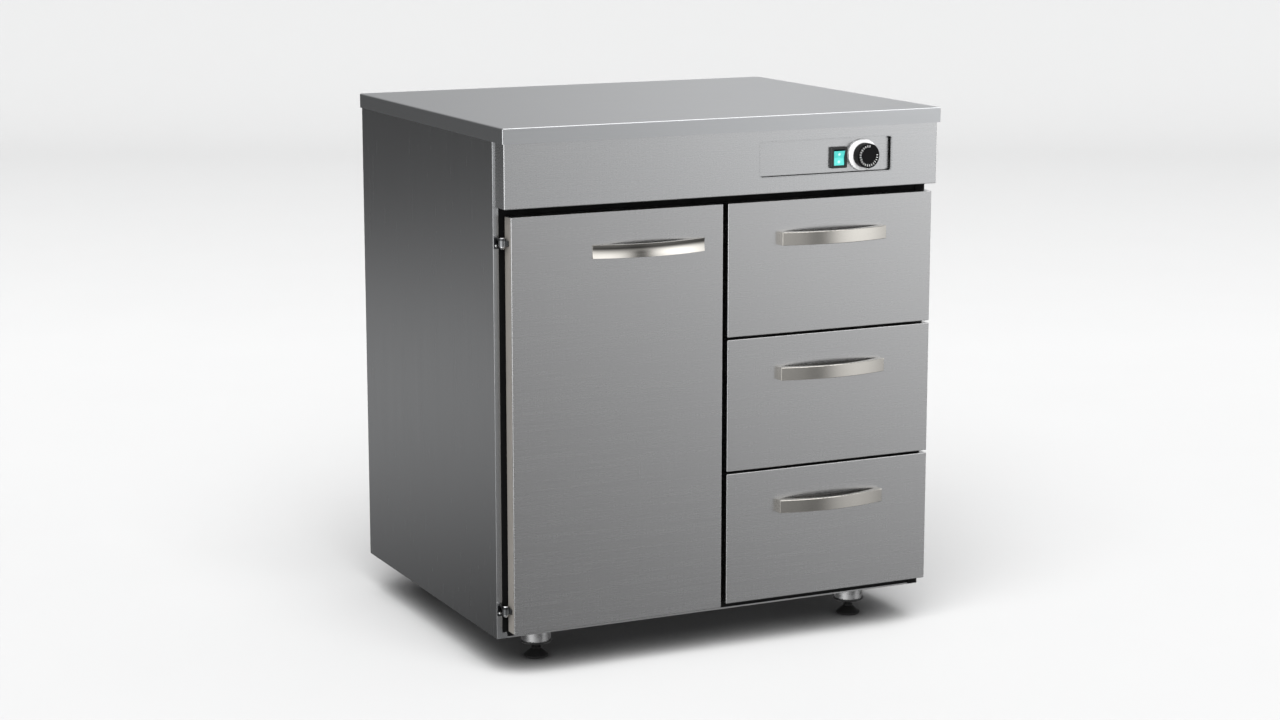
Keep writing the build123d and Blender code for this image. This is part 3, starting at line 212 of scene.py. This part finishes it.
def lit_rocker():
    """Translucent teal rocker lit from inside, with two white glowing spots that are painted
    highlights.
    """
    s = Shader("lit_rocker", Roughness=0.28, Coat_Weight=0.4, Coat_Roughness=0.12)
    s.set(Emission_Strength=1.0)
    centre = middle("switch_rocker")
    low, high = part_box("switch_rocker")
    highlight_offset = (high.z - low.z) * ROCKER_HIGHLIGHT_OFFSET
    flat = s.vector("MULTIPLY", s.place(), (1, 0, 1))
    # painted highlights: a white spot glows in the emission on each half of the rocker
    glow = 0.0
    for level in (centre.z - highlight_offset, centre.z + highlight_offset):
        away = s.vector("DISTANCE", flat, (centre.x, 0, level), "Value")
        glow = s.math("ADD", glow, s.spread(away, 0.0, ROCKER_HIGHLIGHT_RADIUS, 1, 0, smooth=True))
    frost = s.noise((260, 260, 260), 3, 0.6)
    teal = s.blend(frost, (0.05, 0.44, 0.40, 1), (0.09, 0.55, 0.51, 1))
    lit = s.blend(glow, teal, (0.85, 1.0, 0.98, 1))
    s.set(Base_Color=s.blend(0.6, teal, grey(0.0)), Emission_Color=lit)
    return s.material


def quartz():
    """Clear lamp glass with a faint haze and a violet tint."""
    s = Shader("quartz", Transmission_Weight=0.85, IOR=1.46)
    haze = s.noise((90, 90, 20), 3, 0.6)
    s.set(Base_Color=s.blend(haze, (0.80, 0.84, 0.98, 1), (0.92, 0.95, 1.0, 1)))
    s.set(Roughness=s.spread(haze, 0.3, 0.7, 0.03, 0.12))
    return s.material


def board():
    """Chipboard under the worktop."""
    s = Shader("board")
    chips = s.noise((160, 160, 160), 4, 0.7)
    share = s.spread(chips, 0.35, 0.65, 0, 1)
    s.set(Base_Color=s.blend(share, (0.30, 0.20, 0.11, 1), (0.52, 0.39, 0.24, 1)))
    s.set(Roughness=s.spread(chips, 0.3, 0.7, 0.7, 0.9))
    s.bump(chips, 0.3, 0.0004)
    return s.material


# Name, colour and roughness, then the axis of the brushing or the strength of the moulded grain.
FRONT_STEEL = brushed("front_steel", grey(0.53), 0.26, "X", weave=0.15)
FASCIA_STEEL = brushed("fascia_steel", grey(0.56, 0.005), 0.27, "X", weave=0.1)
WORKTOP_STEEL = brushed("worktop_steel", grey(0.54, 0.015), 0.30, "X")
SIDE_STEEL = brushed("side_steel", grey(0.46, 0.01), 0.25, "Z", weave=0.1, depth=0.02)
CASING_STEEL = brushed("casing_steel", grey(0.48), 0.34, "X")
LINER_STEEL = brushed("liner_steel", grey(0.60), 0.26, "Z")
NICKEL = brushed("nickel", (0.62, 0.595, 0.55, 1), 0.16, "X", depth=0.04)
ZINC = plated("zinc", grey(0.58, 0.01), 0.26)
CHROME = plated("chrome", grey(0.72), 0.09)
COLLAR = plated("collar", grey(0.55), 0.25)
REFLECTOR = plated("reflector", grey(0.86, 0.01), 0.06)
# black coat, also used as painted shade: on the front frame, the casing's seal and the recess's liner
BLACK_COAT_AND_SHADE = moulded("black_coat_and_shade", grey(0.002), 0.7, 0.2, specular=0.15)
BLACK_RUBBER = moulded("black_rubber", grey(0.004), 0.7, 0.25, specular=0.3)
BLACK_PLASTIC = moulded("black_plastic", grey(0.009), 0.38, 0.15)
BLACK_KNOB = moulded("black_knob", grey(0.005), 0.42, 0.06, specular=0.08)
# the hinges' nickel, darkened: painted dark reflections on the hinge leaves and barrels
SHADED_NICKEL = plated("shaded_nickel", grey(0.26, 0.02), 0.18)
DEEP_SHADED_NICKEL = plated("deep_shaded_nickel", grey(0.10, 0.04), 0.16)
# pale warm grey that paints the light on the door's hinge-side edge
PAINTED_EDGE_LIGHT = moulded("painted_edge_light", (0.23, 0.215, 0.195, 1), 0.5, 0.05)
WHITE_GLOSS = moulded("white_gloss", grey(0.88), 0.22, 0.02, coat=0.5)
WHITE_PLASTIC = moulded("white_plastic", grey(0.78), 0.38, 0.1)
WHITE_PRINT = moulded("white_print", grey(0.85), 0.5, 0.02)

FINISHES = (
    (WORKTOP_STEEL, ["worktop"]),
    (board(), ["worktop_core"]),
    (SIDE_STEEL, ["left_side_panel", "right_side_panel"]),
    (CASING_STEEL, ["base_panel", "back_panel", "service_bay_floor"]),
    (FASCIA_STEEL, ["fascia", "control_panel"]),
    (FRONT_STEEL, ["door_skin", *each("{}_drawer_front", DRAWERS)]),
    (LINER_STEEL, ["side_liners", "centre_partition", "door_liner", *each("{}_drawer_box", DRAWERS)]),
    (NICKEL, ["door_handle", *each("{}_drawer_handle", DRAWERS)]),
    (ZINC, ["runner_cabinet_members", "shelf_supports", *each("{}_runner_middle_members", DRAWERS)]),
    (ZINC, each("{}_drawer_runner_members", DRAWERS)),
    (CHROME, ["hinge_pins", "hinge_screws", "door_magnets", "wire_shelves"]),
    (CHROME, ["uv_lamp_caps", "timer_shaft"]),
    # hinge leaves in darkened nickel, a painted dark reflection
    (SHADED_NICKEL, ["hinge_door_leaves"]),
    (DEEP_SHADED_NICKEL, ["hinge_frame_leaves"]),
    (REFLECTOR, ["lamp_reflector"]),
    (COLLAR, ["foot_sockets"]),
    # front frame in black coat, which also paints the shade in the gaps round the door and drawers
    (BLACK_COAT_AND_SHADE, ["front_frame"]),
    (BLACK_RUBBER, ["door_gasket", "wiring_harness", *each("{}_foot_pad", FEET)]),
    (BLACK_PLASTIC, ["switch_housing", "timer_body", "mains_inlet", "foot_bushes"]),
    (BLACK_KNOB, ["timer_knob"]),
    (WHITE_GLOSS, ["dial_ring"]),
    (WHITE_PLASTIC, ["ballast", "uv_lamp_holders", "door_catch", "interlock_sensor"]),
    (lit_rocker(), ["switch_rocker"]),
    (quartz(), ["uv_lamp_tube"]),
)
for material, names in FINISHES:
    for name in names:
        for slot in nodes[name].material_slots:
            slot.material = material


# ---------------------------------------------------------------- mesh helpers

SHARP_CORNER = math.radians(35)  # sharper corners are shaded flat
BEVELLED_CORNER = math.radians(40)  # sharper corners are rounded


def new_piece(name, build, material):
    """An object from a bmesh, shaded smooth except at sharp corners."""
    mesh = bpy.data.meshes.new(name)
    bmesh.ops.recalc_face_normals(build, faces=build.faces)
    build.to_mesh(mesh)
    build.free()
    mesh.materials.append(material)
    mesh.shade_smooth()
    mesh.set_sharp_from_angle(angle=SHARP_CORNER)
    piece = bpy.data.objects.new(name, mesh)
    bpy.context.scene.collection.objects.link(piece)
    return piece


def bevel(piece, width):
    """Rounds a piece's sharp edges."""
    modifier = piece.modifiers.new("rounded_edges", "BEVEL")
    modifier.width = width
    modifier.segments = 3
    modifier.limit_method = "ANGLE"
    modifier.angle_limit = BEVELLED_CORNER
    modifier.harden_normals = True
    return piece


def skin(build, rings, closed=True, capped=True):
    """Quads between rings of points, or open rows of them. Closed rings get a cap on each end."""
    rows = [[build.verts.new(point) for point in ring] for ring in rings]
    count = len(rows[0])
    for a, b in zip(rows, rows[1:]):
        for i in range(count if closed else count - 1):
            j = (i + 1) % count
            build.faces.new((a[i], a[j], b[j], b[i]))
    if closed and capped:
        build.faces.new(rows[0])
        build.faces.new(reversed(rows[-1]))


# ---------------------------------------------------------------- refined pieces

HANDLE_END = 2.5 * MM  # bow's stand-off at its ends
HANDLE_FOOT = 30 * MM  # end of the handle to the finger gap
HANDLE_BAR = 5 * MM  # bar's thickness at the middle
HANDLE_DISH = 1.5 * MM  # depth of the hollow
HANDLE_DISH_SHARE = 0.7  # largest share of the stand-off that the hollow takes
HANDLE_DEEPEST = 0.42  # share of the height above the hollow's deepest line
HANDLE_EASE = 0.8 * MM
GRIP_STATIONS = 24  # rings each side of the middle
GRIP_ROWS = 14  # steps down the hollow face


def bow(half, end, reach):
    """How far a bow stands off its feet, as a function of the place along it."""
    rise = reach - end
    radius = (half**2 + rise**2) / (2 * rise)
    return lambda x: math.sqrt(max(radius**2 - x**2, 0)) - radius + reach


def hollow(share):
    """The grip's hollow, from 0 at its lips to 1, by share of the height from the top."""
    if share < HANDLE_DEEPEST:
        return math.sin(math.pi / 2 * share / HANDLE_DEEPEST)
    return math.cos(math.pi / 2 * (share - HANDLE_DEEPEST) / (1 - HANDLE_DEEPEST))


def door_grip():
    """The door's bow handle with a hollowed face between a top and a bottom lip."""
    low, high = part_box("door_handle")
    centre = (low.x + high.x) / 2
    half = (high.x - low.x) / 2
    reach = high.y - low.y
    front = bow(half, HANDLE_END, reach)
    gap = half - HANDLE_FOOT
    back = bow(gap, 0, reach - HANDLE_BAR)
    steps = range(-GRIP_STATIONS, GRIP_STATIONS + 1)
    stations = [half * math.sin(math.pi / 2 * i / GRIP_STATIONS) for i in steps]
    rings = []
    for x in sorted([*stations, -gap, gap]):
        inner = back(x) if abs(x) < gap else 0.0
        dish = min(HANDLE_DISH, HANDLE_DISH_SHARE * front(x))
        face = []
        for i in range(GRIP_ROWS + 1):
            level = high.z - (high.z - low.z) * i / GRIP_ROWS
            face.append((front(x) - dish * hollow(i / GRIP_ROWS), level))
        outline = [*face, (inner, low.z), (inner, high.z)]
        rings.append([(centre + x, high.y - away, z) for away, z in outline])
    build = bmesh.new()
    skin(build, rings)
    piece = bevel(new_piece("door_grip", build, NICKEL), HANDLE_EASE)
    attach(piece, "door")
    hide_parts("door_handle")


TICKS = 20
TICK_START = math.radians(84)  # just past twelve o'clock
TICK_SWEEP = math.radians(280)  # anticlockwise, seen from the front
TICK_INNER = 14.4 * MM
TICK_OUTER = 17.9 * MM
TICK_HALF_WIDTH = 0.44 * MM
TICK_RAISED = 0.12 * MM
TICK_SUNK = 0.1 * MM
TICK_EASE = 0.1 * MM
MAJOR_TICK_EVERY = 4
MAJOR_TICK_LONGER = 0.6 * MM


def knob_scale():
    """Raised white marks round the knob's front."""
    centre = middle("timer_knob")
    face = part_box("timer_knob")[0].y
    build = bmesh.new()
    for i in range(TICKS):
        turn = TICK_START + TICK_SWEEP * i / (TICKS - 1)
        outward = Vector((math.cos(turn), 0, math.sin(turn)))
        across = Vector((-math.sin(turn), 0, math.cos(turn)))
        inner = TICK_INNER if i % MAJOR_TICK_EVERY else TICK_INNER - MAJOR_TICK_LONGER
        rings = []
        for level, margin in ((TICK_SUNK, 0.0), (-TICK_RAISED, TICK_EASE)):
            start = outward * (inner + margin)
            end = outward * (TICK_OUTER - margin)
            side = across * (TICK_HALF_WIDTH - margin)
            base = Vector((centre.x, face + level, centre.z))
            corners = (start - side, end - side, end + side, start + side)
            rings.append([base + corner for corner in corners])
        skin(build, rings)
    piece = new_piece("knob_scale", build, WHITE_PRINT)
    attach(piece, "knob")


PLATE_EASE = 0.12 * MM


def plate(name, x, y, z, material):
    """A thin upright strip between two places along each axis, with eased ends."""
    build = bmesh.new()
    levels = (z[0], z[0] + PLATE_EASE, z[1] - PLATE_EASE, z[1])
    rings = []
    for level, margin in zip(levels, (PLATE_EASE, 0, 0, PLATE_EASE)):
        rings.append([
            (x[0] + margin, y[0] + margin, level),
            (x[1] - margin, y[0] + margin, level),
            (x[1] - margin, y[1] - margin, level),
            (x[0] + margin, y[1] - margin, level),
        ])
    skin(build, rings)
    return new_piece(name, build, material)


STRIP_SUNK = 0.05 * MM  # how far a strip goes into what it sits on
STRIP_SHORT = 1 * MM  # how far it stops short of the other edges
EDGE_LIGHT_THICK = 0.4 * MM
EDGE_LIGHT_MARGIN = 2.2 * MM  # bare steel between the painted light strip and the door's face
# black seal on the casing's edge, which also paints the shade in the gap by the drawers
SEAL_AND_SHADE_THICK = 1.2 * MM
SEAL_AND_SHADE_LAP = 0.5 * MM  # past the panel's inner edge
SEAL_AND_SHADE_BEHIND_FASCIA = 3 * MM


def door_edge_painted_light():
    """Pale strip on the hinge side of the door: painted light on its edge."""
    low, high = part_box("door_skin")
    x = (low.x - EDGE_LIGHT_THICK, low.x + STRIP_SUNK)
    y = (low.y + EDGE_LIGHT_MARGIN, high.y - STRIP_SHORT)
    z = (low.z + STRIP_SHORT, high.z - STRIP_SHORT)
    piece = plate("door_edge_painted_light", x, y, z, PAINTED_EDGE_LIGHT)
    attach(piece, "door")


def casing_seal_and_shade():
    """Black seal on the casing's front edge behind the drawers, which also stands in for the shade in
    the narrow gap there.
    """
    low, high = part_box("right_side_panel")
    x = (low.x - SEAL_AND_SHADE_LAP, high.x - STRIP_SHORT)
    y = (low.y - SEAL_AND_SHADE_THICK, low.y + STRIP_SUNK)
    z = (low.z + STRIP_SHORT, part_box("fascia")[0].z + SEAL_AND_SHADE_BEHIND_FASCIA)
    piece = plate("casing_seal_and_shade", x, y, z, BLACK_COAT_AND_SHADE)
    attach(piece, "root")


PAN_INSET = 11.2 * MM  # control panel's edge to its recess's wall
PAN_RADIUS = 4.6 * MM
PAN_SHEET = 1.2 * MM  # sheet's thickness
SHADOW_LINER_THICK = 0.5 * MM
SHADOW_LINER_START = 0.5  # share of the recess's depth that stays bare
CORNER_STEPS = 6


def rounded_ring(centre, half_x, half_z, radius, y):
    """Points round an upright rectangle with rounded corners, at one place along Y."""
    ring = []
    for corner, (sx, sz) in enumerate(((1, 1), (-1, 1), (-1, -1), (1, -1))):
        for i in range(CORNER_STEPS + 1):
            turn = math.pi / 2 * (corner + i / CORNER_STEPS)
            x = centre.x + sx * (half_x - radius) + radius * math.cos(turn)
            z = centre.z + sz * (half_z - radius) + radius * math.sin(turn)
            ring.append((x, y, z))
    return ring


def recess_painted_shadow():
    """Black liner on the inner part of the control recess's wall: a painted shadow in the recess."""
    low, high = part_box("control_panel")
    section = ((SHADOW_LINER_START, 0), (SHADOW_LINER_START, 1), (1, 1), (1, 0), (SHADOW_LINER_START, 0))
    rings = []
    for depth, inset in section:
        y = low.y + depth * (high.y - low.y - PAN_SHEET)
        thick = inset * SHADOW_LINER_THICK
        half_x = (high.x - low.x) / 2 - PAN_INSET - thick
        half_z = (high.z - low.z) / 2 - PAN_INSET - thick
        rings.append(rounded_ring((low + high) / 2, half_x, half_z, PAN_RADIUS - thick, y))
    build = bmesh.new()
    skin(build, rings, capped=False)
    bmesh.ops.remove_doubles(build, verts=build.verts, dist=0.001 * MM)
    piece = new_piece("recess_painted_shadow", build, BLACK_COAT_AND_SHADE)
    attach(piece, "root")


door_grip()
knob_scale()
recess_painted_shadow()
door_edge_painted_light()
casing_seal_and_shade()

# ---------------------------------------------------------------- studio

CAMERA_YAW = math.radians(25.495)
CAMERA_PITCH = math.radians(10.926)
CAMERA_LENS = 76.51  # mm
CAMERA_SENSOR = 36  # mm
CAMERA_FROM_CORNER = Vector((-1.6287, -3.9149, 0.4502))  # from the worktop's front left corner

# Round patches: azimuth from -Y towards +X and elevation in degrees, sharpness, strength.
AMBIENT = 0.42
GLOWS = ((44, 6, 9, 1.72), (-58, 8, 7, 3.20))  # soft boxes right and left of the camera
GAPS = ((204, 5, 45, 0.95), (204, -8, 5, 0.72))  # dark patches behind, which the left side mirrors
KICKER = (-6, 18, 20, 1.25)  # small box that the dimmed sky doesn't dim

# Spreads over the height, which is the sine of the elevation: from, to, value there, value there.
FLOOR_DIM = (-0.35, -0.05, 0.11, 1.0)
SKY_DIM = (0.10, 0.30, 1.0, 0.25)
SKY_LIFT = (0.0, 0.2, 0.0, 0.27)
FLOOR_LIFT = (-0.75, -0.40, 0.30, 0.0)
SLOT_DEPTH = (-0.20, 0.0, 0.40, 0.96)
STRIP_FOOT = (-0.29, -0.195, 0, 1)
STRIP_HEAD = (-0.185, -0.13, 1, 0)

# Upright patches: azimuth, sharpness and, where the height doesn't set it, strength.
SLOT = (17, 90)  # dark gap between the soft boxes
COLUMN = (151, 160, 0.28)  # light behind, which the worktop mirrors
STRIP = (204, 12, 0.44)  # low light behind, which the left side mirrors


def direction(azimuth, elevation):
    """Unit vector towards a place in the surroundings."""
    a, e = math.radians(azimuth), math.radians(elevation)
    return (math.sin(a) * math.cos(e), -math.cos(a) * math.cos(e), math.sin(e))


def patch(n, seen, azimuth, elevation, sharpness, strength):
    """A soft round patch in the surroundings, or an upright one where seen is level."""
    facing = n.vector("DOT_PRODUCT", seen, direction(azimuth, elevation), "Value")
    falloff = n.math("POWER", n.math("MAXIMUM", facing, 0.0), sharpness)
    return n.math("MULTIPLY", falloff, strength)


def without(n, light, dark):
    """Light with a share of it taken away."""
    return n.math("MULTIPLY", light, n.math("SUBTRACT", 1.0, dark))


def surroundings():
    """What the steel mirrors: soft boxes, a gap between them, a dim floor and a dim sky."""
    world = bpy.data.worlds.new("studio")
    world.use_nodes = True
    bpy.context.scene.world = world
    n = Nodes(world.node_tree)
    seen = n.add("ShaderNodeTexCoord").outputs["Generated"]
    light = AMBIENT
    for glow in GLOWS:
        light = n.math("ADD", light, patch(n, seen, *glow))
    for gap in GAPS:
        light = without(n, light, patch(n, seen, *gap))

    height = n.add("ShaderNodeSeparateXYZ", Vector=seen).outputs["Z"]
    for dimming in (FLOOR_DIM, SKY_DIM):
        light = n.math("MULTIPLY", light, n.spread(height, *dimming))
    for lift in (SKY_LIFT, FLOOR_LIFT):
        light = n.math("ADD", light, n.spread(height, *lift))
    light = n.math("ADD", light, patch(n, seen, *KICKER))

    level = n.vector("NORMALIZE", n.vector("MULTIPLY", seen, (1, 1, 0)), (0, 0, 0))
    light = n.math("ADD", light, patch(n, level, COLUMN[0], 0, *COLUMN[1:]))
    light = without(n, light, patch(n, level, SLOT[0], 0, SLOT[1], n.spread(height, *SLOT_DEPTH)))
    foot = n.spread(height, *STRIP_FOOT, smooth=True)
    strip = n.math("MULTIPLY", foot, n.spread(height, *STRIP_HEAD, smooth=True))
    strip = n.math("MULTIPLY", strip, patch(n, level, STRIP[0], 0, *STRIP[1:]))
    light = n.math("ADD", light, strip)

    background = world.node_tree.nodes["Background"]
    n.feed(background, "Color", (0.985, 0.99, 1.0, 1))
    n.feed(background, "Strength", light)


# Metres.
FLOOR_REACH = 40.0  # to each side and in front
BACKDROP_BEND = 7.0  # where the floor starts to curve up
BACKDROP_RADIUS = 3.0
BACKDROP_TOP = 10.0
# the floor's colour darkens between these distances behind the cabinet: a painted fall-off of the
# light
DARKER_FROM = 2.5
DARKER_TO = 9.0
PAINTED_SHADOW_REACH = 0.12  # how far from the cabinet the floor's painted contact shadow reaches
BACKDROP_STEPS = 15


def floor():
    """Pale floor that curves up into a backdrop far behind the cabinet, with a painted contact shadow
    near the cabinet and a painted fall-off of the light far behind.
    """
    rows = [(-FLOOR_REACH, 0.0)]
    for i in range(BACKDROP_STEPS + 1):
        turn = math.pi / 2 * i / BACKDROP_STEPS
        y = BACKDROP_BEND + BACKDROP_RADIUS * math.sin(turn)
        rows.append((y, BACKDROP_RADIUS - BACKDROP_RADIUS * math.cos(turn)))
    rows.append((BACKDROP_BEND + BACKDROP_RADIUS, BACKDROP_TOP))
    build = bmesh.new()
    skin(build, [[(x, y, z) for x in (-FLOOR_REACH, FLOOR_REACH)] for y, z in rows], closed=False)
    s = Shader("floor")
    speck = s.noise((3, 3, 3), 2, 0.5)
    distance = s.add("ShaderNodeSeparateXYZ", Vector=s.place()).outputs["Y"]
    # painted fall-off of the light: the floor and backdrop are darker far behind
    away = s.spread(distance, DARKER_FROM, DARKER_TO, 0, 1)
    pale = s.blend(away, s.blend(speck, grey(0.465), grey(0.475)), grey(0.33))
    # painted contact shadow: the floor turns dark grey where the cabinet is near, by ambient
    # occlusion
    painted_contact_shadow = s.add("ShaderNodeAmbientOcclusion", Distance=PAINTED_SHADOW_REACH).outputs["AO"]
    s.set(Base_Color=s.blend(s.spread(painted_contact_shadow, 0.15, 0.7, 0, 1), grey(0.03), pale), Roughness=0.8)
    piece = new_piece("floor", build, s.material)
    piece.rotation_euler.z = -CAMERA_YAW
    piece.visible_glossy = False


def sun(azimuth, elevation, strength, spread, mirrored):
    """Even soft light from a direction, either only mirrored or never."""
    data = bpy.data.lights.new("sun", "SUN")
    data.energy = strength
    data.angle = math.radians(spread)
    lamp = bpy.data.objects.new("sun", data)
    bpy.context.scene.collection.objects.link(lamp)
    lamp.rotation_euler = Vector(direction(azimuth, elevation)).to_track_quat("Z", "Y").to_euler()
    lamp.visible_glossy = mirrored
    lamp.visible_diffuse = not mirrored


def camera():
    """The photograph's viewpoint."""
    low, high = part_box("worktop")
    data = bpy.data.cameras.new("camera")
    data.lens = CAMERA_LENS
    data.sensor_width = CAMERA_SENSOR
    lens = bpy.data.objects.new("camera", data)
    bpy.context.scene.collection.objects.link(lens)
    lens.location = Vector((low.x, low.y, high.z)) + CAMERA_FROM_CORNER
    lens.rotation_euler = (math.pi / 2 - CAMERA_PITCH, 0, -CAMERA_YAW)
    bpy.context.scene.camera = lens


bpy.context.scene.view_settings.view_transform = "Standard"
surroundings()
floor()
sun(-25, 56, 5.6, 60, mirrored=False)  # above the camera: lights the floor and the plastics
sun(66, 62, 1.9, 60, mirrored=True)  # high on the right: mirrored by the upper edges
camera()
